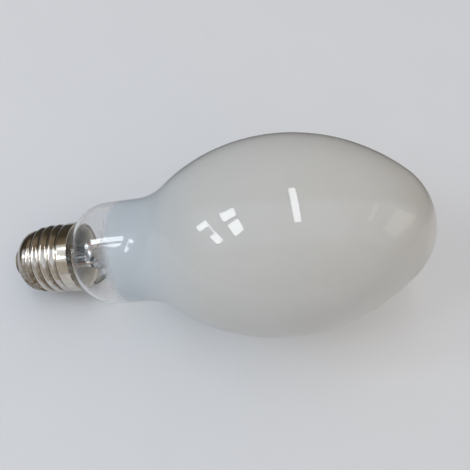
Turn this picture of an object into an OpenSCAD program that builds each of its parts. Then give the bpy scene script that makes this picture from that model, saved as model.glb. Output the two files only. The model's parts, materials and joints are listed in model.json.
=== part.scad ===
// High pressure sodium lamp with an E27 screw cap, lying on its side.
// Every piece is drawn about the lamp's own axis, with +Z from the cap to the dome and
// zero at the rim of the cap. The module lie() then lays the whole lamp on the floor.

/* [Outer bulb] */
// Overall length from the solder on the contact to the top of the dome
lamp_length = 156; // [154:0.5:160]
// Largest diameter of the glass
bulb_d = 71; // [68:0.5:74]
// Distance from the cap rim to the largest diameter
widest_at = 76; // [73:0.5:79]
// Radius of the long sides of the bulb, seen from the side
belly_arc = 66.4; // [64:0.2:70]
// Radius of the straight tube between shoulder and belly
tube_r = 19.3; // [18.8:0.1:19.8]
// Radius of the hollow curve from the tube to the belly
waist_arc = 23.6; // [22:0.2:27]
// Radius of the rounded shoulder above the cap
shoulder_arc = 15; // [14:0.2:16]
// Distance from the cap rim to where the shoulder meets the tube
shoulder_at = 13.5; // [13:0.1:14.5]
// Radius of the neck inside the cap
neck_r = 11.3; // [11:0.05:11.4]
// Radius of the hollow curve where the neck meets the shoulder
neck_arc = 6; // [5:0.1:7]
// How far the neck reaches below the rim of the cap
neck_depth = 13; // [12:0.1:13.5]
// Thickness of the blown glass
glass = 1; // [0.8:0.05:1.1]

/* [Screw cap] */
// Length of the cap from its rim to the solder on the contact
cap_length = 27; // [26.8:0.1:27.4]
// Radius over the crests of the thread
crest_r = 13.2; // [13.1:0.05:13.25]
// Radius at the roots of the thread
root_r = 12.1; // [12.05:0.01:12.2]
// Rise of the thread in one turn
pitch = 3.629; // [3.6:0.001:3.65]
// Distance from the cap rim down to the last full crest, on the floor side
low_crest = 16.47; // [16.3:0.01:16.7]
// Radius of the smooth collar
collar_r = 13.35; // [13.3:0.01:13.4]
// Height of the smooth collar
collar_h = 4.2; // [4:0.1:4.4]
// Thickness of the sheet brass
sheet = 0.3; // [0.25:0.01:0.32]
// How much slimmer the shell is at the end of its thread
end_taper = 0.8; // [0.6:0.1:0.9]
// Radius of the hole that the shell's rounded end leaves
lip_r = 7.4; // [7:0.1:7.8]
// Radius of the centre contact
contact_r = 5.6; // [5:0.1:6]
// Thickness of the centre contact
contact_t = 0.8; // [0.6:0.1:1]

/* [Stem and frame] */
// Radius of the glass tube that rises from the flare
stem_r = 4.6; // [4.4:0.1:4.8]
// Wall of the stem tube
stem_wall = 1; // [0.9:0.05:1.1]
// Station at which the tube starts to flatten into the press
press_from = 2; // [1:0.5:3]
// Station of the top of the press
press_top = 15; // [14:0.5:16]
// Width of the press, across both leads
press_w = 12; // [11:0.5:13]
// Thickness of the press
press_t = 4; // [3.6:0.1:4.4]
// Radius of the frame wire
wire_r = 0.6; // [0.5:0.05:0.65]
// Distance of each lead from the axis in the press
lead_y = 3.4; // [3.2:0.1:3.6]

/* [Arc tube] */
// Outer radius of the alumina tube
arc_r = 3; // [2.8:0.1:3.2]
// Wall of the alumina tube
arc_wall = 0.7; // [0.6:0.05:0.8]
// Length of the alumina tube
arc_length = 54; // [50:1:56]
// Distance from the cap rim to the middle of the arc tube
light_centre = 75; // [74:0.5:76]
// Outer radius of the metal end tubes
end_r = 1.55; // [1.4:0.05:1.6]
// How far an end tube stands out of its plug
end_reach = 10; // [9:0.5:11]

/* [Hidden] */

$fn = 96;
bulb_r = bulb_d / 2;
bulb_length = lamp_length - cap_length;

// Centres of the bulb's arcs, as [radius, station]
belly_c = [bulb_r - belly_arc, widest_at];
dome_rise = bulb_length - widest_at;
dome_arc = (pow(belly_arc, 2) - pow(belly_c[0], 2) - pow(dome_rise, 2))
    / (2 * (belly_arc - dome_rise));
dome_c = [0, bulb_length - dome_arc];
waist_cr = tube_r + waist_arc;
waist_c = [waist_cr, widest_at - leg(belly_arc + waist_arc, waist_cr - belly_c[0])];
shoulder_c = [tube_r - shoulder_arc, shoulder_at];
neck_cr = neck_r + neck_arc;
neck_c = [neck_cr, shoulder_at - leg(shoulder_arc + neck_arc, neck_cr - shoulder_c[0])];

// Cap
thread_mid = (crest_r + root_r) / 2;
thread_depth = (crest_r - root_r) / 2;
thread_fade = 1.8;
taper_from = -12;
roll_from = -(low_crest + thread_fade);
roll_r = thread_mid - end_taper;
roll_depth = 5;
collar_top = -collar_h + 0.3;
collar_step = 1.3;
shell_around = 48;
shell_per_turn = 8;
seat_gap = 0.06;
contact_face = -cap_length + 0.7;
insulator_face = contact_face + contact_t;
insulator_hole = 1.2;
cement_top = -0.6;
cement_foot = -10;

// Frame
flare_rim = 1.2;
seal_gap = 0.1;
outer_lead_y = 2.95;
outer_lead_r = 0.35;
side_lead_r = 0.2;
side_lead_at = 235;
exhaust_r = 2.3;
exhaust_wall = 0.8;
exhaust_tip = -15;
rod_x = 7.5;
rod_y = 1.8;
plug_t = 3;
pin_r = 0.35;
pin_reach = 5.5;
pin_root = 2;
arc_base = light_centre - arc_length / 2;
arc_dome = light_centre + arc_length / 2;
base_end = arc_base - end_reach;
dome_end = arc_dome + end_reach;
strip_t = 0.3;
spring_w = 4;
spring_at = dome_end + 3.4;
spring_rise = 3.4;
getter_at = [4.5, -8, 5.5];
getter_r = 3.2;

// The lamp rests on the last full crest and on the side of its belly
low_r = crest_r - taper(-low_crest);
crest_gap = [belly_c[1] + low_crest, belly_c[0] - low_r];
rest_tilt = atan2(crest_gap[1], crest_gap[0]) + asin(belly_arc / norm(crest_gap));
rim_height = low_r * cos(rest_tilt) + low_crest * sin(rest_tilt);
reach_dome = dome_c[1] * cos(rest_tilt) + dome_arc;
reach_cap = contact_face * cos(rest_tilt) - contact_r * sin(rest_tilt);
rim_x = -(reach_dome + reach_cap) / 2;

// Third side of a right-angled triangle
function leg(long, side) = sqrt(pow(long, 2) - pow(side, 2));
// Direction from one centre to another
function toward(a, b) = atan2(b[1] - a[1], b[0] - a[0]);
// Points along an arc, with no step above the given angle
function arc(c, r, from, to, step = 4) =
    let (n = ceil(abs(to - from) / step))
    [for (i = [0:n]) let (t = from + (to - from) * i / n) c + r * [cos(t), sin(t)]];
function reversed(list) = [for (i = [len(list) - 1:-1:0]) list[i]];

// Side of the bulb from the end of the neck to the dome, moved in by inset
function neck_side(inset) = concat(
    [[neck_r - inset, -neck_depth]],
    arc(neck_c, neck_arc + inset, 180, toward(neck_c, shoulder_c)));
function bulb_side(inset) = concat(
    neck_side(inset),
    arc(shoulder_c, shoulder_arc - inset, toward(neck_c, shoulder_c) - 180, 0),
    arc(waist_c, waist_arc + inset, 180, toward(waist_c, belly_c)),
    arc(belly_c, belly_arc - inset, toward(waist_c, belly_c) - 180,
        toward(belly_c, dome_c), 2.5),
    arc(dome_c, dome_arc - inset, toward(belly_c, dome_c), 90));
// Radius of the inner wall on the long side of the bulb
function wall_r(s) = belly_c[0] + leg(belly_arc - glass, s - widest_at);

// Lays the lamp down, cap towards -X
module lie() {
    translate([rim_x, 0, rim_height]) rotate([0, 90 - rest_tilt, 0]) children();
}

module revolve(points) {
    rotate_extrude() polygon(points);
}

// Ring between two radii and two stations
module ring(inner, outer, from, to) {
    revolve([[inner, from], [outer, from], [outer, to], [inner, to]]);
}

// Round bar between two stations
module bar(r, from, to) {
    translate([0, 0, from]) cylinder(r = r, h = to - from, $fn = 32);
}

// Wire route with each inner corner rounded
function bent(points, reach, steps = 4) = [for (i = [0:len(points) - 1])
    let (p = points[i], end = i == 0 || i == len(points) - 1)
    each end ? [p] : let (
        back = points[i - 1] - p, on = points[i + 1] - p,
        a = p + back * min(reach / norm(back), 0.5),
        b = p + on * min(reach / norm(on), 0.5))
        [for (k = [0:steps]) let (t = k / steps)
            a * pow(1 - t, 2) + p * 2 * t * (1 - t) + b * pow(t, 2)]];
function unit(v) = v / norm(v);
// Direction of a route at each of its points
function heading(path, i) = unit(path[min(i + 1, len(path) - 1)] - path[max(i - 1, 0)]);
// Side direction at each point, carried along so that the wire doesn't twist
function sides(path, i, side) = i == len(path) ? [] :
    let (h = heading(path, i), s = unit(side - h * (side * h)))
    concat([s], sides(path, i + 1, s));

// Round wire along a route
module wire(path, r, around = 10) {
    first = heading(path, 0);
    side = sides(path, 0, abs(first[0]) < 0.9 ? [1, 0, 0] : [0, 1, 0]);
    rings = len(path);
    points = [for (i = [0:rings - 1]) let (h = heading(path, i), s = side[i], u = cross(h, s))
        for (k = [0:around - 1]) path[i] + r * (s * cos(360 * k / around) + u * sin(360 * k / around))];
    walls = [for (i = [0:rings - 2]) for (k = [0:around - 1]) let (j = (k + 1) % around)
        each [[i * around + k, (i + 1) * around + k, (i + 1) * around + j],
            [i * around + k, (i + 1) * around + j, i * around + j]]];
    ends = [[for (k = [0:around - 1]) k], [for (k = [around - 1:-1:0]) (rings - 1) * around + k]];
    polyhedron(points, concat(walls, ends), convexity = 6);
}

module outer_bulb() {
    color([0.86, 0.87, 0.88, 0.75]) lie()
        revolve(concat(bulb_side(0), reversed(bulb_side(glass))));
}

// Rounded end and thread of the shell as rows of [station, radius, thread depth], moved in
// by inset. The thread fades out at both ends, and the shell widens to meet the collar
function fade(x) = let (t = max(0, min(1, x))) t * t * (3 - 2 * t);
function taper(s) = end_taper * fade((taper_from - s) / (taper_from - roll_from));
function roll_row(t, inset) = [roll_from - (roll_depth - inset) * sin(t),
    lip_r + (roll_r - lip_r - inset) * cos(t), 0];
function thread_row(s, inset) = let (
    low = fade((s - roll_from) / thread_fade), high = fade((-collar_h - s) / thread_fade),
    widen = fade((s - collar_top) / collar_step + 1))
    [s, thread_mid - taper(s) - inset + widen * (collar_r - sheet / 2 - thread_mid),
        thread_depth * low * high];
function shell_rows(inset) = let (turn_rows = round((collar_top - roll_from) / pitch * shell_per_turn))
    concat([for (t = [90:-15:15]) roll_row(t, inset)],
        [for (i = [0:turn_rows]) thread_row(roll_from + (collar_top - roll_from) * i / turn_rows, inset)]);

module threaded_shell() {
    outer = shell_rows(0);
    rows = concat(outer, reversed(shell_rows(sheet)));
    n = len(rows);
    m = shell_around;
    points = [for (row = rows) for (k = [0:m - 1])
        let (az = 360 * (k + 0.5) / m, r = row[1] + row[2] * cos(360 * (row[0] + low_crest) / pitch - az))
        [r * cos(az), r * sin(az), row[0]]];
    faces = [for (i = [0:n - 1]) for (k = [0:m - 1]) let (up = (i + 1) % n, j = (k + 1) % m)
        each [[i * m + k, up * m + k, up * m + j], [i * m + k, up * m + j, i * m + j]]];
    polyhedron(points, faces, convexity = 12);
}

module cap_shell() {
    color([0.78, 0.76, 0.72]) lie() {
        threaded_shell();
        ring(collar_r - sheet, collar_r, -collar_h, 0);
    }
}

module cap_insulator() {
    inner = sheet + seat_gap;
    color([0.06, 0.06, 0.07]) lie()
        revolve(concat(
            [[insulator_hole, insulator_face], [contact_r + 0.6, insulator_face]],
            [[lip_r - seat_gap, roll_from - roll_depth]],
            [for (t = [90:-15:0]) let (row = roll_row(t, inner)) [row[1], row[0]]],
            [[insulator_hole, roll_from]]));
}

module centre_contact() {
    color([0.75, 0.66, 0.45]) lie()
        revolve([[outer_lead_r + 0.1, contact_face], [contact_r, contact_face],
            [contact_r, insulator_face], [insulator_hole - 0.1, insulator_face],
            [insulator_hole - 0.1, insulator_face + 0.8], [outer_lead_r + 0.1, insulator_face + 0.8]]);
}

module contact_solder() {
    blob = 2.6;
    height = cap_length + contact_face;
    r = (pow(blob, 2) + pow(height, 2)) / (2 * height);
    color([0.7, 0.7, 0.7]) lie()
        revolve(concat([[0, contact_face], [0, -cap_length]],
            arc([0, r - cap_length], r, -90, -90 + asin(blob / r), 6)));
}

module cap_cement() {
    groove = 0.7;
    root = root_r - sheet - seat_gap;
    glass_side = [for (p = reversed(neck_side(0))) if (p[1] < cement_top && p[1] > -neck_depth) p];
    color([0.72, 0.7, 0.66]) lie() difference() {
        revolve(concat([[collar_r - sheet, cement_top]], glass_side,
            [[neck_r, cement_foot], [root, cement_foot], [root, -collar_h - 1],
            [collar_r - sheet, -collar_h + 0.6]]));
        rotate([0, 0, side_lead_at]) translate([neck_r - 0.5, -groove / 2, cement_foot - 1])
            cube([3, groove, cement_top - cement_foot + 2]);
    }
}

// Trumpet that turns out from the stem tube to the end of the neck
module flare() {
    bend = neck_r - stem_r - flare_rim;
    curve = [neck_r - flare_rim, bend - neck_depth - seal_gap];
    revolve(concat(
        [[neck_r, -neck_depth], [neck_r, -neck_depth - stem_wall - seal_gap]],
        arc(curve, bend + stem_wall, -90, -180),
        [[stem_r - stem_wall, press_from + 1], [stem_r, press_from + 1]],
        arc(curve, bend, -180, -90),
        [[neck_r - glass, -neck_depth - seal_gap], [neck_r - glass, -neck_depth]]));
}

// Tube that the bulb was pumped through, with its end sealed to a point
module exhaust_tube() {
    revolve([[0, exhaust_tip], [exhaust_r, exhaust_tip + 4], [exhaust_r, press_from + 0.3],
        [exhaust_r - exhaust_wall, press_from + 0.3], [exhaust_r - exhaust_wall, exhaust_tip + 4.2],
        [0, exhaust_tip + 1.6]]);
}

// Rounded slab across both leads
module press_slice(w, t, s) {
    translate([0, 0, s]) hull() for (side = [-1, 1])
        translate([0, side * (w - t) / 2, 0]) cylinder(r = t / 2, h = 0.5, $fn = 32);
}

module stem() {
    color([0.75, 0.8, 0.78, 0.6]) lie() difference() {
        union() {
            flare();
            exhaust_tube();
            hull() {
                translate([0, 0, press_from]) cylinder(r = stem_r, h = 1, $fn = 32);
                press_slice(press_w, press_t, press_from + 5.5);
            }
            hull() {
                press_slice(press_w, press_t, press_from + 5.5);
                press_slice(press_w, press_t, press_top - 0.5);
            }
        }
        translate([0, 0, press_from]) rotate([0, -60, 0]) cylinder(r = 1, h = 8, $fn = 32);
        for (side = [-1, 1]) {
            translate([0, side * lead_y, 0]) bar(wire_r, press_from + 5, press_top + 1);
            translate([0, side * outer_lead_y, 0]) bar(outer_lead_r, press_from - 1, press_from + 5);
        }
    }
}

// Lead under the flare, from the press to the hole in the insulator
module centre_lead() {
    color([0.72, 0.45, 0.3]) lie() wire(bent([[0, outer_lead_y, press_from + 5],
        [0, outer_lead_y, -16], [0, 0, roll_from + 1], [0, 0, contact_face]], 1.5), outer_lead_r);
}

// Lead that runs out under the flare and up between the neck and the shell
module side_lead_route() {
    turn = [cos(side_lead_at), sin(side_lead_at)];
    out = neck_r + 0.23;
    top = collar_r - 0.6;
    wire(bent([[0, -outer_lead_y, press_from + 5], [0, -outer_lead_y, -10.5],
        [turn[0] * 7, turn[1] * 7, -15.5], [turn[0] * out, turn[1] * out, -15],
        [turn[0] * out, turn[1] * out, -4], [turn[0] * top, turn[1] * top, -0.4]], 1.5), side_lead_r);
}

module side_lead() {
    color([0.72, 0.45, 0.3]) lie() side_lead_route();
}

// Solder that fills the gap between the neck and the rim of the collar
module side_solder() {
    blob_r = 0.45;
    color([0.72, 0.72, 0.72]) lie() difference() {
        rotate([0, 0, side_lead_at]) translate([collar_r - 0.4, 0, 0.05]) sphere(r = blob_r, $fn = 32);
        revolve(concat([[0, -neck_depth]], bulb_side(0)));
        ring(collar_r - sheet, collar_r + 1, -collar_h, 0);
        side_lead_route();
    }
}

module support_rod() {
    color([0.75, 0.75, 0.75]) lie() wire(bent([[0, lead_y, press_from + 5], [0, lead_y, press_top + 3],
        [rod_x, rod_y, press_top + 12], [rod_x, rod_y, dome_end + 0.5],
        [rod_x / 3, rod_y / 3, spring_at - wire_r], [0, 0, spring_at - wire_r]], 3), wire_r);
}

module short_post() {
    color([0.75, 0.75, 0.75]) lie() translate([0, -lead_y, 0]) bar(wire_r, press_from + 5, base_end + 5);
}

// Bowed strip whose ends press on the inner wall of the dome
module spring(at) {
    end_s = at + spring_rise;
    end_x = leg(wall_r(end_s + strip_t), spring_w / 2) + 0.04;
    bow = (pow(end_x, 2) + pow(spring_rise, 2)) / (2 * spring_rise);
    half = asin(end_x / bow);
    outer = arc([0, at + bow], bow, -90 - half, -90 + half, 4);
    inner = arc([0, at + bow], bow - strip_t, -90 + half, -90 - half, 4);
    rotate([90, 0, 0]) translate([0, 0, -spring_w / 2])
        linear_extrude(spring_w) polygon(concat(outer, inner));
}

module dome_spring_lower() {
    color([0.8, 0.8, 0.82]) lie() spring(spring_at);
}

module dome_spring_upper() {
    color([0.8, 0.8, 0.82]) lie() rotate([0, 0, 90]) spring(spring_at + strip_t + 0.04);
}

module arc_tube() {
    color([0.95, 0.93, 0.88, 0.8]) lie() ring(arc_r - arc_wall, arc_r, arc_base, arc_dome);
}

module plug(from) {
    ring(end_r, arc_r - arc_wall, from, from + plug_t);
}

module base_plug() {
    color([0.95, 0.94, 0.9]) lie() plug(arc_base);
}

module dome_plug() {
    color([0.95, 0.94, 0.9]) lie() plug(arc_dome - plug_t);
}

// Metal tube, closed at its outer end, from inside the plug
module niobium_tube() {
    wall = 0.25;
    revolve([[end_r, 0], [end_r, end_reach + plug_t], [0, end_reach + plug_t],
        [0, end_reach + plug_t - wall], [end_r - wall, end_reach + plug_t - wall], [end_r - wall, wall],
        [pin_r, wall], [pin_r, 0]]);
}

module base_niobium_tube() {
    color([0.6, 0.6, 0.62]) lie() translate([0, 0, arc_base + plug_t]) mirror([0, 0, 1]) niobium_tube();
}

module dome_niobium_tube() {
    color([0.6, 0.6, 0.62]) lie() translate([0, 0, arc_dome - plug_t]) niobium_tube();
}

module base_electrode() {
    color([0.35, 0.35, 0.37]) lie() bar(pin_r, arc_base + plug_t - pin_root, arc_base + plug_t + pin_reach);
}

module dome_electrode() {
    color([0.35, 0.35, 0.37]) lie() bar(pin_r, arc_dome - plug_t - pin_reach, arc_dome - plug_t + pin_root);
}

// Tungsten winding on a pin
module coil(from) {
    strand = 0.18;
    turns = 6;
    per_turn = 12;
    rise = strand * 2.3;
    coil_r = pin_r + strand + 0.02;
    wire([for (i = [0:turns * per_turn]) let (a = 360 * i / per_turn)
        [coil_r * cos(a), coil_r * sin(a), from + i / per_turn * rise]], strand, 6);
}

module base_coil() {
    color([0.4, 0.4, 0.42]) lie() coil(arc_base + plug_t + 1.8);
}

module dome_coil() {
    color([0.4, 0.4, 0.42]) lie() coil(arc_dome - plug_t - 4.4);
}

// Nickel band round the base end tube, welded to the short post
module base_strap() {
    width = 3;
    from = base_end + 1;
    color([0.78, 0.77, 0.73]) lie() {
        ring(end_r, end_r + strip_t, from, from + width);
        translate([wire_r, -lead_y - wire_r, from]) cube([strip_t, lead_y + wire_r - end_r + 0.05, width]);
    }
}

// Wire from the support rod with a loop that the dome end tube slides in
module guide_loop() {
    at = dome_end - 6;
    loop_r = 0.4;
    ring_r = end_r + 0.1 + loop_r;
    away = norm([rod_x, rod_y]);
    color([0.75, 0.75, 0.75]) lie() rotate([0, 0, atan2(rod_y, rod_x)]) translate([0, 0, at]) {
        rotate_extrude($fn = 48) translate([ring_r, 0]) circle(r = loop_r, $fn = 16);
        difference() {
            translate([ring_r, 0, 0]) rotate([0, 90, 0])
                cylinder(r = loop_r, h = away - ring_r, $fn = 16);
            translate([away, 0, -2]) cylinder(r = wire_r + 0.01, h = 4, $fn = 32);
        }
    }
}

// Thin strip that bows between the rod and the end of the arc tube
module expansion_strip() {
    away = norm([rod_x, rod_y]) - wire_r - 0.01;
    start = end_r;
    low = dome_end - 3;
    rise = 2.2;
    half = (away - start) / 2;
    bow = (pow(half, 2) + pow(rise, 2)) / (2 * rise);
    swing = asin(half / bow);
    centre = [start + half, low + rise - bow];
    color([0.7, 0.7, 0.72]) lie() rotate([0, 0, atan2(rod_y, rod_x)]) rotate([90, 0, 0])
        translate([0, 0, -0.6]) linear_extrude(1.2) polygon(concat(
            arc(centre, bow, 90 + swing, 90 - swing, 6),
            arc(centre, bow - 0.15, 90 - swing, 90 + swing, 6)));
}

// Open channel that held the gettering metal
module getter_ring() {
    color([0.3, 0.29, 0.26]) lie() translate(getter_at) rotate([0, 60, -60])
        revolve([[getter_r - 1, 0], [getter_r, 0], [getter_r, 1], [getter_r - 0.2, 1],
            [getter_r - 0.2, 0.2], [getter_r - 0.8, 0.2], [getter_r - 0.8, 1], [getter_r - 1, 1]]);
}

module getter_holder() {
    color([0.6, 0.6, 0.6]) lie() wire(bent([[0, -lead_y - wire_r - 0.25, press_top + 4],
        [3.4, -6, press_top + 1], getter_at + [0, 0, 2]], 1.5), 0.25, 8);
}

// Bead at the cool end, on the floor side of the arc tube
module amalgam_dose() {
    bead_r = 0.5;
    color([0.7, 0.7, 0.72]) lie()
        translate([arc_r - arc_wall - bead_r - 0.02, 0, arc_base + plug_t + bead_r + 0.1])
            sphere(r = bead_r, $fn = 32);
}

outer_bulb();
stem();
cap_shell();
cap_insulator();
centre_contact();
contact_solder();
side_solder();
cap_cement();
centre_lead();
side_lead();
support_rod();
short_post();
dome_spring_lower();
dome_spring_upper();
arc_tube();
base_plug();
dome_plug();
base_niobium_tube();
dome_niobium_tube();
base_electrode();
dome_electrode();
base_coil();
dome_coil();
base_strap();
guide_loop();
expansion_strip();
getter_ring();
getter_holder();
amalgam_dose();
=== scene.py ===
"""High pressure sodium lamp with a powder coated bulb, lying on a pale table."""
import json
import math

import bpy
from mathutils import Matrix, Vector


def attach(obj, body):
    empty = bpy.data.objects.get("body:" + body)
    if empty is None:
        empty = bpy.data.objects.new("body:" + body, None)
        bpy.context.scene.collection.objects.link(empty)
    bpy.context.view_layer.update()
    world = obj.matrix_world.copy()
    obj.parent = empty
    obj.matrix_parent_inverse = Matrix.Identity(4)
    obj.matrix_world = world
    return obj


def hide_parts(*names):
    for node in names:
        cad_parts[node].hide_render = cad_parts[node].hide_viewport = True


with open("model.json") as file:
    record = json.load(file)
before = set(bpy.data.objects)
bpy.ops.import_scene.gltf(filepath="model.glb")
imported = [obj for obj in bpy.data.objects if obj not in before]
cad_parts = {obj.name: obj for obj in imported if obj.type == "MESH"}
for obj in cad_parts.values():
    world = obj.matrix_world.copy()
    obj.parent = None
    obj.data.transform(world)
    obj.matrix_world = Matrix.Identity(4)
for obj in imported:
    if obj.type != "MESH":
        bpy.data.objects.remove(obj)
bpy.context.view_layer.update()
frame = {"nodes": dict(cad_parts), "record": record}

MM = 0.001

# Bulb outline, in millimetres, with the values that the solids are drawn from: a neck, a
# shoulder, a straight tube, a waist, a belly and a dome. Stations count from the cap's rim
BULB_R = 35.5
BULB_LENGTH = 129
WIDEST_AT = 76
BELLY_ARC = 66.4
TUBE_R = 19.3
WAIST_ARC = 23.6
SHOULDER_ARC = 15
SHOULDER_AT = 13.5
NECK_R = 11.3
NECK_ARC = 6
NECK_DEPTH = 13
GLASS = 1

# Powder coat, in millimetres: its reach into the glass, where its skin begins, the
# stations between which it thickens, and those between which its painted bluish cast of cool window
# light fades
COAT_REACH = 0.03
COAT_FROM = 13
POWDER_FROM = 16.0
POWDER_FULL = 21.5
COOL_CAST_TO = 25
NEUTRAL_FROM = 60

# Screw cap, in millimetres: it lies at negative stations, its thread swells into the
# collar over SWELL_H, and LOW_CREST is how far the last full crest is from the rim
COLLAR_R = 13.35
COLLAR_H = 4.2
CREST_R = 13.2
ROOT_R = 12.1
PITCH = 3.629
LOW_CREST = 16.47
END_TAPER = 0.8
TAPER_FROM = -12
LIP_R = 7.4
SHEET = 0.3
THREAD_FADE = 1.8
THREAD_MID = (CREST_R + ROOT_R) / 2
THREAD_TOP = -COLLAR_H + 0.3
SWELL_H = 1.3
ROLL_FROM = -(LOW_CREST + THREAD_FADE)
ROLL_R = THREAD_MID - END_TAPER
ROLL_DEPTH = 5
COLLAR_ROWS = (-3.6, -3.0, -2.0, -1.0, -0.3, 0)

# Brown stain and painted shade in the thread roots, and wear, in millimetres: height of the brown
# over the roots, length over which it ends at the collar, and depth of the wear on the crests
STAIN_AND_SHADE_H = 0.8
STAIN_AND_SHADE_END = 1
WEAR_DEPTH = 0.12

# Fineness: degrees between points of an arc, rows along the straight tube and along each
# turn of the thread, and edges round the lamp
ARC_STEP = 2
ROLL_STEP = 6
TUBE_ROWS = 9
THREAD_ROWS = 14
BULB_EDGES = 128
CAP_EDGES = 144

# Radius in millimetres of the last ring at the top of the dome, before it is merged
TIP_R = 1e-4
# Metres within which the corners of a CAD solid's loose triangles are one point
SAME_POINT = 1e-6
# Degrees at an edge, past which it stays sharp
SHARP_EDGE = 40
SHARP_SOLID_EDGE = 35

# The lamp's own axis, read from the mount in the middle of the collar
collar = next(m for m in frame["record"]["mounts"] if m["name"] == "cap_collar")
ALONG = -Vector(collar["axis"]).normalized()
ACROSS = Vector((0, 1, 0))
FLOORWARD = ACROSS.cross(ALONG)
RIM = Vector(collar["pos_m"]) + ALONG * COLLAR_H / 2 * MM
LIE = Matrix.Translation(RIM) @ Matrix((FLOORWARD, ACROSS, ALONG)).transposed().to_4x4()

# Camera, fitted to the lamp's outline: place in metres, turn in degrees, lens in millimetres
CAMERA_PLACE = (0.01019, -0.08803, 0.21708)
CAMERA_TURN = (26, 0, 0.88)
LENS = 43.66
SENSOR_WIDTH = 36

# Table, in metres; in mirrors it ends behind the lamp
TABLE_SIZE = 6
TABLE_BACK = 0.03
TABLE_FADE = 0.04

# Window to the left, in metres and degrees; each pane is its Y, Z, width and height
WINDOW_X = -0.9
WINDOW_TURN = (90, -18, -90)
WINDOW_BRIGHTNESS = 10.0
WINDOW_COLOUR = (0.93, 0.97, 1.0)
WINDOW_PANES = {
    "low_right": (-0.035, 0.543, 0.11, 0.165),
    "glazing_bar": (-0.152, 0.665, 0.235, 0.025),
    "low_left": (-0.352, 0.684, 0.22, 0.13),
    "high_right": (0.065, 1.01, 0.205, 0.31),
    "high_left": (-0.297, 1.141, 0.35, 0.28),
}
WARM_WINDOW_TURN = (90, 12, 90)

# Direction across the band of lit ceiling that runs over the lamp
CEILING_SIDE = Vector((0, 0.975, 0.22))


def at(station, down=0, side=0):
    """Place in the row frame of a point that is given in millimetres along the lamp."""
    return LIE @ (Vector((down, side, station)) * MM)


def leg(long, side):
    """Third side of a right triangle, from its longest side and another."""
    return math.sqrt(long ** 2 - side ** 2)


def smoothstep(x):
    t = max(0.0, min(1.0, x))
    return t * t * (3 - 2 * t)


def rgb(red, green, blue):
    return (red, green, blue, 1)


# Outline of the blown glass


def heading(a, b):
    return math.degrees(math.atan2(b[1] - a[1], b[0] - a[0]))


def arc(centre, radius, start, end, step):
    count = math.ceil(abs(end - start) / step)
    turns = [math.radians(start + (end - start) * i / count) for i in range(count + 1)]
    return [(centre[0] + radius * math.cos(t), centre[1] + radius * math.sin(t)) for t in turns]


def bulb_outline(inset):
    """Points as (radius, station) from the end of the neck to the dome, moved in by inset."""
    belly = (BULB_R - BELLY_ARC, WIDEST_AT)
    dome_h = BULB_LENGTH - WIDEST_AT
    dome_arc = (BELLY_ARC ** 2 - belly[0] ** 2 - dome_h ** 2) / (2 * (BELLY_ARC - dome_h))
    dome = (0, BULB_LENGTH - dome_arc)
    waist_r = TUBE_R + WAIST_ARC
    waist = (waist_r, WIDEST_AT - leg(BELLY_ARC + WAIST_ARC, waist_r - belly[0]))
    shoulder = (TUBE_R - SHOULDER_ARC, SHOULDER_AT)
    neck_r = NECK_R + NECK_ARC
    neck = (neck_r, SHOULDER_AT - leg(SHOULDER_ARC + NECK_ARC, neck_r - shoulder[0]))
    tube = waist[1] - SHOULDER_AT
    points = [(NECK_R - inset, -NECK_DEPTH)]
    points += arc(neck, NECK_ARC + inset, 180, heading(neck, shoulder), 3 * ARC_STEP)
    points += arc(shoulder, SHOULDER_ARC - inset,
                  heading(neck, shoulder) - 180, 0, 1.5 * ARC_STEP)[1:]
    points += [(TUBE_R - inset, SHOULDER_AT + tube * i / TUBE_ROWS) for i in range(1, TUBE_ROWS)]
    points += arc(waist, WAIST_ARC + inset, 180, heading(waist, belly), ARC_STEP)
    points += arc(belly, BELLY_ARC - inset,
                  heading(waist, belly) - 180, heading(belly, dome), ARC_STEP / 2)[1:]
    points += arc(dome, dome_arc - inset, heading(belly, dome), 90, ARC_STEP)[1:]
    return points


# Shaping tools


def clear_selection():
    if bpy.context.mode != "OBJECT":
        bpy.ops.object.mode_set(mode="OBJECT")
    bpy.ops.object.select_all(action="DESELECT")


def pick(piece):
    """Makes the piece the active one and the only one selected."""
    clear_selection()
    bpy.context.view_layer.objects.active = piece
    piece.select_set(True)


def smooth_faces(sharp=SHARP_EDGE):
    """Shades the picked piece smooth, apart from its sharp edges."""
    bpy.ops.object.shade_smooth_by_angle(angle=math.radians(sharp))


def turned(name, outline, around, closed_end=False):
    """One ring of edges, extruded and resized from station to station along the lamp."""
    clear_selection()
    first_r, first_s = outline[0]
    bpy.ops.mesh.primitive_circle_add(vertices=around, radius=first_r * MM, location=at(first_s),
                                      rotation=LIE.to_euler())
    piece = bpy.context.object
    piece.name = name
    piece.data.name = name
    bpy.ops.object.mode_set(mode="EDIT")
    bpy.ops.mesh.select_all(action="SELECT")
    for (r, s), (next_r, next_s) in zip(outline, outline[1:]):
        step = ALONG * (next_s - s) * MM
        bpy.ops.mesh.extrude_edges_move(TRANSFORM_OT_translate={"value": step})
        size = max(next_r, TIP_R) / r
        bpy.ops.transform.resize(value=(size, size, size), center_override=at(next_s))
    if closed_end:
        bpy.ops.mesh.merge(type="CENTER")
    bpy.ops.mesh.select_all(action="SELECT")
    bpy.ops.mesh.normals_make_consistent(inside=False)
    bpy.ops.object.mode_set(mode="OBJECT")
    pick(piece)
    bpy.ops.object.transform_apply(location=True, rotation=True, scale=True)
    smooth_faces()
    return piece


def face_away_from_axis(piece):
    """Turns the faces of an open wall so that they point away from the lamp's axis."""
    face = max(piece.data.polygons, key=lambda f: f.area)
    out = face.center - RIM
    out -= ALONG * out.dot(ALONG)
    if face.normal.dot(out) < 0:
        piece.data.flip_normals()


def give_wall(piece, thickness):
    """Gives an open wall its thickness, inwards."""
    pick(piece)
    wall = piece.modifiers.new("wall", "SOLIDIFY")
    wall.thickness = thickness * MM
    wall.offset = -1
    wall.use_even_offset = True
    bpy.ops.object.modifier_apply(modifier=wall.name)
    smooth_faces()


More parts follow.
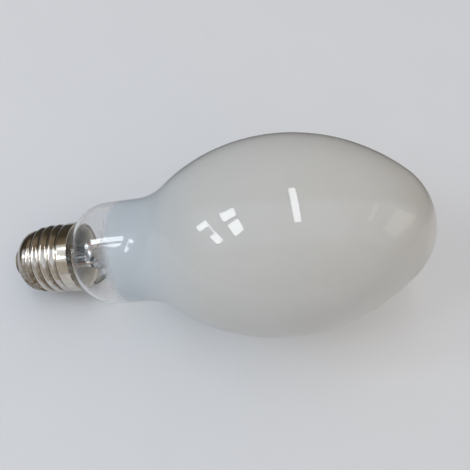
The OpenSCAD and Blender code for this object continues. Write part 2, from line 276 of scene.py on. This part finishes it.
def refined(node):
    """Copy of a CAD solid, its loose triangles joined and its round faces smooth."""
    piece = bpy.data.objects.new(node + "_finish", frame["nodes"][node].data.copy())
    piece.data.name = piece.name
    bpy.context.scene.collection.objects.link(piece)
    pick(piece)
    bpy.ops.object.mode_set(mode="EDIT")
    bpy.ops.mesh.select_all(action="SELECT")
    bpy.ops.mesh.remove_doubles(threshold=SAME_POINT)
    bpy.ops.object.mode_set(mode="OBJECT")
    smooth_faces(SHARP_SOLID_EDGE)
    return piece


def finish_with(piece, material):
    piece.data.materials.clear()
    piece.data.materials.append(material)


def hand_over(piece, slot, material, *nodes):
    """Sets the piece on the lamp, in place of the CAD nodes that it stands for."""
    finish_with(piece, material)
    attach(piece, "root")
    if nodes:
        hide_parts(*nodes)


# Node helpers


def feed(tree, socket, value):
    """Links another socket to this one, or sets its value."""
    if isinstance(value, bpy.types.NodeSocket):
        tree.links.new(value, socket)
    else:
        socket.default_value = value


def add(tree, kind, inputs=(), **settings):
    """Adds a shader node, sets its properties, then its inputs by name or number."""
    node = tree.nodes.new("ShaderNode" + kind)
    for key, value in settings.items():
        setattr(node, key, value)
    for key, value in dict(inputs).items():
        feed(tree, node.inputs[key], value)
    return node


def maths(tree, operation, *values, clamp=False):
    node = add(tree, "Math", enumerate(values), operation=operation, use_clamp=clamp)
    return node.outputs["Value"]


def times(tree, first, second):
    return maths(tree, "MULTIPLY", first, second)


def plus(tree, first, second):
    return maths(tree, "ADD", first, second)


def rise(tree, mask, start, gain):
    """A value that goes from start, where the mask is 0, up by gain, where it is 1."""
    return maths(tree, "MULTIPLY_ADD", mask, gain, start)


def vectors(tree, operation, *values, output="Value"):
    return add(tree, "VectorMath", enumerate(values), operation=operation).outputs[output]


def object_place(tree):
    return add(tree, "TexCoord").outputs["Object"]


def noise(tree, place, scale, detail=3.0, roughness=0.5):
    """Even noise about 0.5, with scale in spots per metre."""
    node = add(tree, "TexNoise", {"Vector": place, "Scale": scale, "Detail": detail,
                                  "Roughness": roughness})
    return node.outputs["Fac"]


def stretch(tree, value, low, high, to_low=0.0, to_high=1.0):
    """Smooth step of a value between low and high."""
    node = add(tree, "MapRange", {"Value": value, "From Min": low, "From Max": high,
                                  "To Min": to_low, "To Max": to_high},
               interpolation_type="SMOOTHSTEP")
    return node.outputs["Result"]


def blend(tree, mask, first, second):
    """Mix of two colours; the node has its colour sockets at 6 and 7, and its result at 2."""
    return add(tree, "Mix", {0: mask, 6: first, 7: second}, data_type="RGBA").outputs[2]


def mix_shaders(tree, mask, first, second):
    return add(tree, "MixShader", {0: mask, 1: first.outputs[0], 2: second.outputs[0]})


def bump(tree, height, strength, distance):
    node = add(tree, "Bump", {"Height": height, "Strength": strength, "Distance": distance * MM})
    return node.outputs["Normal"]


def ray(tree, kind):
    """1 for a ray of that kind, such as Shadow or Camera, and 0 for others."""
    return add(tree, "LightPath").outputs["Is " + kind + " Ray"]


def mirrored(tree):
    """1 for a ray that a surface has mirrored, and 0 for others."""
    return maths(tree, "SUBTRACT", ray(tree, "Glossy"), ray(tree, "Transmission"), clamp=True)


def group(name, inputs, outputs):
    """New shader node group with named sockets, and its input and output nodes."""
    tree = bpy.data.node_groups.new(name, "ShaderNodeTree")
    for label, kind, value in inputs:
        socket = tree.interface.new_socket(label, in_out="INPUT", socket_type="NodeSocket" + kind)
        if value is not None:
            socket.default_value = value
    for label, kind in outputs:
        tree.interface.new_socket(label, in_out="OUTPUT", socket_type="NodeSocket" + kind)
    return tree, tree.nodes.new("NodeGroupInput").outputs, tree.nodes.new("NodeGroupOutput").inputs


def use(tree, shared, **inputs):
    """Places a shared group in a material, with its values by name."""
    node = tree.nodes.new("ShaderNodeGroup")
    node.node_tree = shared
    for key, value in inputs.items():
        feed(tree, node.inputs[key], value)
    return node.outputs


def make_lamp_place():
    """Millimetres along the lamp from its rim, out from its axis, and towards the floor."""
    tree, given, result = group("lamp_place", [("Place", "Vector", None)],
                                [("Station", "Float"), ("Radius", "Float"), ("Down", "Float")])
    from_rim = vectors(tree, "SUBTRACT", given["Place"], RIM, output="Vector")
    station = vectors(tree, "DOT_PRODUCT", from_rim, ALONG)
    foot = add(tree, "VectorMath", {0: ALONG, "Scale": station}, operation="SCALE")
    off_axis = vectors(tree, "SUBTRACT", from_rim, foot.outputs["Vector"], output="Vector")
    radius = vectors(tree, "LENGTH", off_axis)
    down = vectors(tree, "DOT_PRODUCT", off_axis, FLOORWARD)
    for label, metres in (("Station", station), ("Radius", radius), ("Down", down)):
        tree.links.new(maths(tree, "DIVIDE", metres, MM), result[label])
    return tree


def make_mottle():
    """Slow and fine clouding between two colours, and the same clouding as a mask."""
    tree, given, result = group(
        "mottle",
        [("Place", "Vector", None), ("Scale", "Float", 400.0),
         ("Low", "Color", rgb(0.5, 0.5, 0.5)), ("High", "Color", rgb(0.6, 0.6, 0.6))],
        [("Color", "Color"), ("Mask", "Float")])
    finer = 7.0
    fine_share = 0.35
    wide = noise(tree, given["Place"], given["Scale"], detail=2.0)
    fine = noise(tree, given["Place"], times(tree, given["Scale"], finer), detail=4.0)
    both = plus(tree, times(tree, wide, 1 - fine_share), times(tree, fine, fine_share))
    mask = stretch(tree, both, low=0.38, high=0.62)
    tree.links.new(blend(tree, mask, given["Low"], given["High"]), result["Color"])
    tree.links.new(mask, result["Mask"])
    return tree


def make_fine_scratches():
    """Thin lines that run round the lamp's axis, as a mask."""
    tree, given, result = group("fine_scratches",
                                [("Place", "Vector", None), ("Amount", "Float", 0.5)],
                                [("Mask", "Float")])
    lines_per_metre = (60, 60, 5200)
    along_lamp = add(tree, "Mapping", {"Vector": given["Place"],
                                       "Rotation": LIE.inverted().to_euler(),
                                       "Scale": lines_per_metre}).outputs["Vector"]
    lines = noise(tree, along_lamp, scale=1.0, detail=2.0, roughness=0.6)
    mask = stretch(tree, lines, low=0.56, high=0.7)
    tree.links.new(times(tree, mask, given["Amount"]), result["Mask"])
    return tree


LAMP_PLACE = make_lamp_place()
MOTTLE = make_mottle()
FINE_SCRATCHES = make_fine_scratches()


def new_material(name):
    """Empty material, its node tree and its output's surface socket."""
    material = bpy.data.materials.new(name)
    material.use_nodes = True
    material.node_tree.nodes.clear()
    surface = add(material.node_tree, "OutputMaterial").inputs["Surface"]
    return material, material.node_tree, surface


def principled(tree, **inputs):
    return add(tree, "BsdfPrincipled", {key.replace("_", " "): v for key, v in inputs.items()})


# Finishes


def clear_glass(name, tint, edge_tint, ripple):
    """Blown or pressed glass, darker where its wall is seen edge on; lights shine through it."""
    material, tree, surface = new_material(name)
    waves = noise(tree, object_place(tree), scale=55.0, detail=1.0)
    facing = add(tree, "LayerWeight", {"Blend": 0.5}).outputs["Facing"]
    edge_on = stretch(tree, facing, low=0.7, high=0.95)
    glass = principled(tree, Base_Color=blend(tree, edge_on, tint, edge_tint), Roughness=0.0,
                       IOR=1.5, Transmission_Weight=1.0,
                       Normal=bump(tree, waves, strength=ripple, distance=1.0))
    through = add(tree, "BsdfTransparent", {"Color": rgb(0.98, 0.975, 0.97)})
    mix = mix_shaders(tree, ray(tree, "Shadow"), glass, through)
    tree.links.new(mix.outputs[0], surface)
    return material


def powder():
    """White powder in a thin, slightly uneven coat, ragged where it ends at the neck, with a
    painted bluish cast of cool window light towards the neck.
    """
    material, tree, surface = new_material("powder")
    raggedness = 2.0
    glow_share = 0.85
    straight_share = 0.45
    place = object_place(tree)
    station = use(tree, LAMP_PLACE, Place=place)["Station"]
    thick = use(tree, MOTTLE, Place=place, Scale=60.0,
                Low=rgb(0.83, 0.83, 0.81), High=rgb(0.845, 0.845, 0.825))
    # Painted light: towards the neck the coat is tinted bluish for the cool window light from the
    # left.
    neutral = stretch(tree, station, COOL_CAST_TO, NEUTRAL_FROM)
    cover = blend(tree, neutral, rgb(0.81, 0.86, 0.89), thick["Color"])
    ragged = noise(tree, place, scale=700.0)
    edge = plus(tree, station, times(tree, ragged, raggedness))
    alpha = stretch(tree, edge, POWDER_FROM, POWDER_FULL)
    coat = principled(tree, Base_Color=cover, Roughness=0.9, Specular_IOR_Level=0.0, Alpha=alpha)
    glow = add(tree, "BsdfTranslucent", {"Color": cover})
    clear = add(tree, "BsdfTransparent")
    both = mix_shaders(tree, glow_share, coat, mix_shaders(tree, alpha, clear, glow))
    shadow = times(tree, ray(tree, "Shadow"), straight_share)
    tree.links.new(mix_shaders(tree, shadow, both, clear).outputs[0], surface)
    return material


def plated_brass():
    """Nickel plating with brown in the thread roots, partly stain and partly painted shade that is
    heavier on the side towards the floor, and brass on the worn crests.
    """
    material, tree, surface = new_material("plated_brass")
    wear = 0.3
    place = object_place(tree)
    lamp = use(tree, LAMP_PLACE, Place=place)
    plate = use(tree, MOTTLE, Place=place, Scale=500.0,
                Low=rgb(0.60, 0.57, 0.53), High=rgb(0.70, 0.68, 0.64))
    patches = stretch(tree, noise(tree, place, scale=900.0, detail=4.0), low=0.35, high=0.65)
    on_collar = stretch(tree, lamp["Station"], -COLLAR_H - STAIN_AND_SHADE_END, -COLLAR_H)
    # Brown in the thread roots: partly stain, partly painted shade in the recesses.
    deep = stretch(tree, lamp["Radius"], ROOT_R, ROOT_R + STAIN_AND_SHADE_H, to_low=1.0, to_high=0.0)
    root = maths(tree, "SUBTRACT", deep, on_collar, clamp=True)
    # Painted shade: the brown is fainter on the top of the cap and full on its sides and on the
    # side towards the floor.
    shade_towards_floor = stretch(tree, lamp["Down"], -ROOT_R, -ROOT_R / 3, to_low=0.3, to_high=1.0)
    stain_and_shade = times(tree, times(tree, root, shade_towards_floor), rise(tree, patches, start=0.6, gain=0.4))
    stained_and_shaded = blend(tree, stain_and_shade, plate["Color"], rgb(0.15, 0.10, 0.045))
    crest = stretch(tree, lamp["Radius"], CREST_R - WEAR_DEPTH, CREST_R)
    worn = times(tree, times(tree, crest, patches), wear)
    colour = blend(tree, worn, stained_and_shaded, rgb(0.75, 0.60, 0.36))
    lines = use(tree, FINE_SCRATCHES, Place=place, Amount=0.5)["Mask"]
    dull = rise(tree, stain_and_shade, start=0.08, gain=0.22)
    rough = plus(tree, dull, rise(tree, lines, start=0.0, gain=0.1))
    shader = principled(tree, Base_Color=colour, Metallic=1.0, Roughness=rough,
                        Normal=bump(tree, lines, strength=0.25, distance=0.02))
    tree.links.new(shader.outputs[0], surface)
    return material


def metal(name, low, high, roughness, scale=800.0, relief=0.2):
    """Drawn or stamped metal with clouded colour and fine marks."""
    material, tree, surface = new_material(name)
    tone = use(tree, MOTTLE, Place=object_place(tree), Scale=scale, Low=low, High=high)
    shader = principled(tree, Base_Color=tone["Color"], Metallic=1.0,
                        Roughness=rise(tree, tone["Mask"], start=roughness, gain=0.12),
                        Normal=bump(tree, tone["Mask"], strength=relief, distance=0.05))
    tree.links.new(shader.outputs[0], surface)
    return material


def fired(name, low, high, roughness, scale, relief):
    """Ceramic, cement or black glass: clouded colour and a fine grain, no metal."""
    material, tree, surface = new_material(name)
    place = object_place(tree)
    tone = use(tree, MOTTLE, Place=place, Scale=scale, Low=low, High=high)
    finer = 6
    grain = noise(tree, place, scale * finer)
    shader = principled(tree, Base_Color=tone["Color"],
                        Roughness=rise(tree, tone["Mask"], start=roughness, gain=0.1),
                        Normal=bump(tree, grain, strength=relief, distance=0.05))
    tree.links.new(shader.outputs[0], surface)
    return material


def table_top():
    """Pale table with hardly any grain, dark in mirrors from a little behind the lamp."""
    material, tree, surface = new_material("table_top")
    place = object_place(tree)
    tone = use(tree, MOTTLE, Place=place, Scale=6.0,
               Low=rgb(0.605, 0.622, 0.632), High=rgb(0.615, 0.632, 0.642))
    far = add(tree, "SeparateXYZ", {0: place}).outputs["Y"]
    beyond = stretch(tree, far, TABLE_BACK, TABLE_BACK + TABLE_FADE)
    dark = times(tree, beyond, mirrored(tree))
    colour = blend(tree, dark, tone["Color"], rgb(0.05, 0.045, 0.04))
    shader = principled(tree, Base_Color=colour, Roughness=0.75, Specular_IOR_Level=0.2)
    tree.links.new(shader.outputs[0], surface)
    return material


# Pieces


def bulb_glass():
    glass = turned("bulb_glass", bulb_outline(0), BULB_EDGES, closed_end=True)
    face_away_from_axis(glass)
    give_wall(glass, GLASS)
    return glass


def powder_coat():
    """The skin of powder, from inside the shoulder to the dome."""
    inside = [p for p in bulb_outline(GLASS - COAT_REACH) if p[1] > COAT_FROM]
    coat = turned("powder_coat", inside, BULB_EDGES, closed_end=True)
    face_away_from_axis(coat)
    return coat


def screw_shell():
    """Rolled end, round thread and plain collar of the cap, in one thin wall."""
    count = round((THREAD_TOP - ROLL_FROM) / PITCH * THREAD_ROWS)
    turns = [math.radians(t) for t in range(90, 0, -ROLL_STEP)]
    outline = [(LIP_R + (ROLL_R - LIP_R) * math.cos(t), ROLL_FROM - ROLL_DEPTH * math.sin(t))
               for t in turns]
    for i in range(count + 1):
        s = ROLL_FROM + (THREAD_TOP - ROLL_FROM) * i / count
        swell = (COLLAR_R - THREAD_MID) * smoothstep((s - THREAD_TOP + SWELL_H) / SWELL_H)
        taper = END_TAPER * smoothstep((TAPER_FROM - s) / (TAPER_FROM - ROLL_FROM))
        outline.append((THREAD_MID + swell - taper, s))
    outline += [(COLLAR_R, s) for s in COLLAR_ROWS]
    shell = turned("screw_shell", outline, CAP_EDGES)
    face_away_from_axis(shell)
    roll_thread(shell)
    give_wall(shell, SHEET)
    return shell


def roll_thread(shell):
    """Moves the wall in and out along a right-hand helix, fading at both ends."""
    depth = (CREST_R - ROOT_R) / 2
    back = LIE.inverted()
    for v in shell.data.vertices:
        x, y, s = back @ v.co / MM
        fade = smoothstep((s - ROLL_FROM) / THREAD_FADE) * smoothstep((-COLLAR_H - s) / THREAD_FADE)
        turn = math.tau * (s + LOW_CREST) / PITCH - math.atan2(y, x)
        r = math.hypot(x, y)
        grow = (r + depth * fade * math.cos(turn)) / r
        v.co = at(s, x * grow, y * grow)


def dress_lamp():
    """Hands over every piece, or gives its finish to the CAD solid that stays."""
    wall = clear_glass("blown_glass", rgb(1.0, 0.995, 0.99), rgb(0.72, 0.72, 0.71), ripple=0.02)
    hand_over(bulb_glass(), "coated_glass", wall, "outer_bulb")
    hand_over(powder_coat(), "coated_glass", powder())
    hand_over(screw_shell(), "nickel_plate", plated_brass(), "cap_shell")
    stem_glass = clear_glass("stem_glass", rgb(0.95, 0.98, 0.98), rgb(0.80, 0.83, 0.83), ripple=0.0)
    black_glass = fired("black_glass", rgb(0.006, 0.006, 0.007), rgb(0.012, 0.012, 0.014),
                        roughness=0.12, scale=300, relief=0.05)
    copper = metal("copper", rgb(0.55, 0.26, 0.14), rgb(0.72, 0.38, 0.22), roughness=0.3)
    solder = metal("solder", rgb(0.42, 0.42, 0.43), rgb(0.58, 0.58, 0.58),
                   roughness=0.32, scale=600, relief=0.5)
    brass = metal("brass", rgb(0.20, 0.16, 0.10), rgb(0.32, 0.26, 0.16), roughness=0.35)
    cement = fired("cement", rgb(0.66, 0.63, 0.54), rgb(0.78, 0.75, 0.66),
                   roughness=0.85, scale=900, relief=0.6)
    frame_wire = metal("frame_wire", rgb(0.45, 0.45, 0.46), rgb(0.60, 0.60, 0.61), roughness=0.28)
    strip = metal("nickel_strip", rgb(0.55, 0.53, 0.49), rgb(0.68, 0.66, 0.62), roughness=0.22)
    getter = metal("getter_metal", rgb(0.10, 0.10, 0.085), rgb(0.22, 0.21, 0.18),
                   roughness=0.45, scale=700, relief=0.5)
    spring = metal("spring_strip", rgb(0.58, 0.58, 0.59), rgb(0.70, 0.70, 0.71), roughness=0.2)
    niobium = metal("niobium", rgb(0.36, 0.36, 0.38), rgb(0.48, 0.48, 0.50), roughness=0.35)
    tungsten = metal("tungsten", rgb(0.16, 0.16, 0.17), rgb(0.26, 0.26, 0.27), roughness=0.4)
    amalgam = metal("amalgam", rgb(0.55, 0.55, 0.56), rgb(0.72, 0.72, 0.74), roughness=0.1)
    alumina = fired("alumina", rgb(0.80, 0.78, 0.74), rgb(0.87, 0.86, 0.82),
                    roughness=0.4, scale=400, relief=0.1)
    plug = fired("alumina_plug", rgb(0.78, 0.77, 0.74), rgb(0.86, 0.85, 0.83),
                 roughness=0.6, scale=900, relief=0.3)
    refined_pieces = {
        "stem": ("clear_glass", stem_glass),
        "cap_insulator": ("black_glass", black_glass),
        "centre_contact": ("contact_brass", brass),
        "contact_solder": ("solder", solder),
        "side_solder": ("solder", solder),
        "cap_cement": ("cement", cement),
        "centre_lead": ("copper_wire", copper),
        "side_lead": ("copper_wire", copper),
        "support_rod": ("frame_wire", frame_wire),
        "short_post": ("frame_wire", frame_wire),
        "getter_ring": ("getter_metal", getter),
        "getter_holder": ("frame_wire", frame_wire),
    }
    for node, (slot, finish) in refined_pieces.items():
        hand_over(refined(node), slot, finish, node)
    kept_solids = {
        "dome_spring_lower": spring,
        "dome_spring_upper": spring,
        "arc_tube": alumina,
        "base_plug": plug,
        "dome_plug": plug,
        "base_niobium_tube": niobium,
        "dome_niobium_tube": niobium,
        "base_electrode": tungsten,
        "dome_electrode": tungsten,
        "base_coil": tungsten,
        "dome_coil": tungsten,
        "base_strap": strip,
        "guide_loop": frame_wire,
        "expansion_strip": strip,
        "amalgam_dose": amalgam,
    }
    for node, finish in kept_solids.items():
        finish_with(frame["nodes"][node], finish)


# Studio


def lay_table():
    clear_selection()
    bpy.ops.mesh.primitive_plane_add(size=TABLE_SIZE, location=(0, 0, 0))
    table = bpy.context.object
    table.name = "table"
    table.data.materials.append(table_top())


def soft_light(name, place, turn, size, brightness, colour):
    """Flat light; brightness is that of its own face, so a larger one gives more light."""
    light = bpy.data.lights.new(name, "AREA")
    light.shape = "RECTANGLE"
    light.size, light.size_y = size
    light.energy = brightness * math.pi * size[0] * size[1]
    light.color = colour
    lamp = bpy.data.objects.new(name, light)
    lamp.location = place
    lamp.rotation_euler = [math.radians(t) for t in turn]
    bpy.context.scene.collection.objects.link(lamp)


def set_lights():
    """A window's panes to the left, a strip overhead and a dim warm window to the right."""
    for name, (y, z, width, height) in WINDOW_PANES.items():
        soft_light("pane_" + name, (WINDOW_X, y, z), WINDOW_TURN, (width, height),
                   WINDOW_BRIGHTNESS, WINDOW_COLOUR)
    soft_light("strip", place=(-0.05, 0.107, 1.2), turn=(0, 0, 5.7), size=(0.085, 0.776),
               brightness=9.0, colour=(0.95, 0.98, 1.0))
    soft_light("warm_pane_high", place=(0.9, 0.0, 0.97), turn=WARM_WINDOW_TURN, size=(0.45, 0.1),
               brightness=1.2, colour=(1.0, 0.86, 0.74))
    soft_light("warm_pane_low", place=(0.9, -0.1, 0.5), turn=WARM_WINDOW_TURN, size=(0.45, 0.3),
               brightness=1.0, colour=(1.0, 0.92, 0.72))


def background(tree, colour, strength=1.0):
    return add(tree, "Background", {"Color": colour, "Strength": strength})


def set_world():
    """Even light, cool from the left and warm from the right; mirrors see a darker room,
    and the camera sees a plain pale wall."""
    world = bpy.data.worlds.new("room")
    bpy.context.scene.world = world
    world.use_nodes = True
    tree = world.node_tree
    tree.nodes.clear()
    direction = add(tree, "TexCoord").outputs["Generated"]
    towards = add(tree, "SeparateXYZ", {0: direction}).outputs
    high = stretch(tree, towards["Z"], low=0.35, high=0.75)
    behind = stretch(tree, towards["Y"], low=-0.35, high=0.15)
    back = blend(tree, high, rgb(0.06, 0.05, 0.035), rgb(0.24, 0.19, 0.13))
    walls = blend(tree, behind, rgb(0.46, 0.43, 0.39), back)
    aside = maths(tree, "ABSOLUTE", vectors(tree, "DOT_PRODUCT", direction, CEILING_SIDE))
    in_band = stretch(tree, aside, low=0.3, high=0.45, to_low=1.0, to_high=0.0)
    ceiling = times(tree, in_band, stretch(tree, towards["Z"], low=0.2, high=0.5))
    room = background(tree, blend(tree, ceiling, walls, rgb(0.80, 0.83, 0.88)))
    right = stretch(tree, towards["X"], low=-0.6, high=0.6)
    sides = blend(tree, right, rgb(0.74, 0.90, 1.14), rgb(1.14, 0.94, 0.77))
    even = background(tree, sides, strength=0.75)
    plain = background(tree, rgb(0.62, 0.63, 0.65))
    light = mix_shaders(tree, mirrored(tree), even, room)
    seen = mix_shaders(tree, ray(tree, "Camera"), light, plain)
    tree.links.new(seen.outputs[0], add(tree, "OutputWorld").inputs["Surface"])


def set_camera():
    """The photograph's view: 64 degrees above the table, lamp across the frame."""
    data = bpy.data.cameras.new("camera")
    data.lens = LENS
    data.sensor_width = SENSOR_WIDTH
    camera = bpy.data.objects.new("camera", data)
    camera.location = CAMERA_PLACE
    camera.rotation_euler = [math.radians(t) for t in CAMERA_TURN]
    bpy.context.scene.collection.objects.link(camera)
    bpy.context.scene.camera = camera


set_camera()
dress_lamp()
lay_table()
set_lights()
set_world()
bpy.context.scene.view_settings.view_transform = "Standard"
clear_selection()
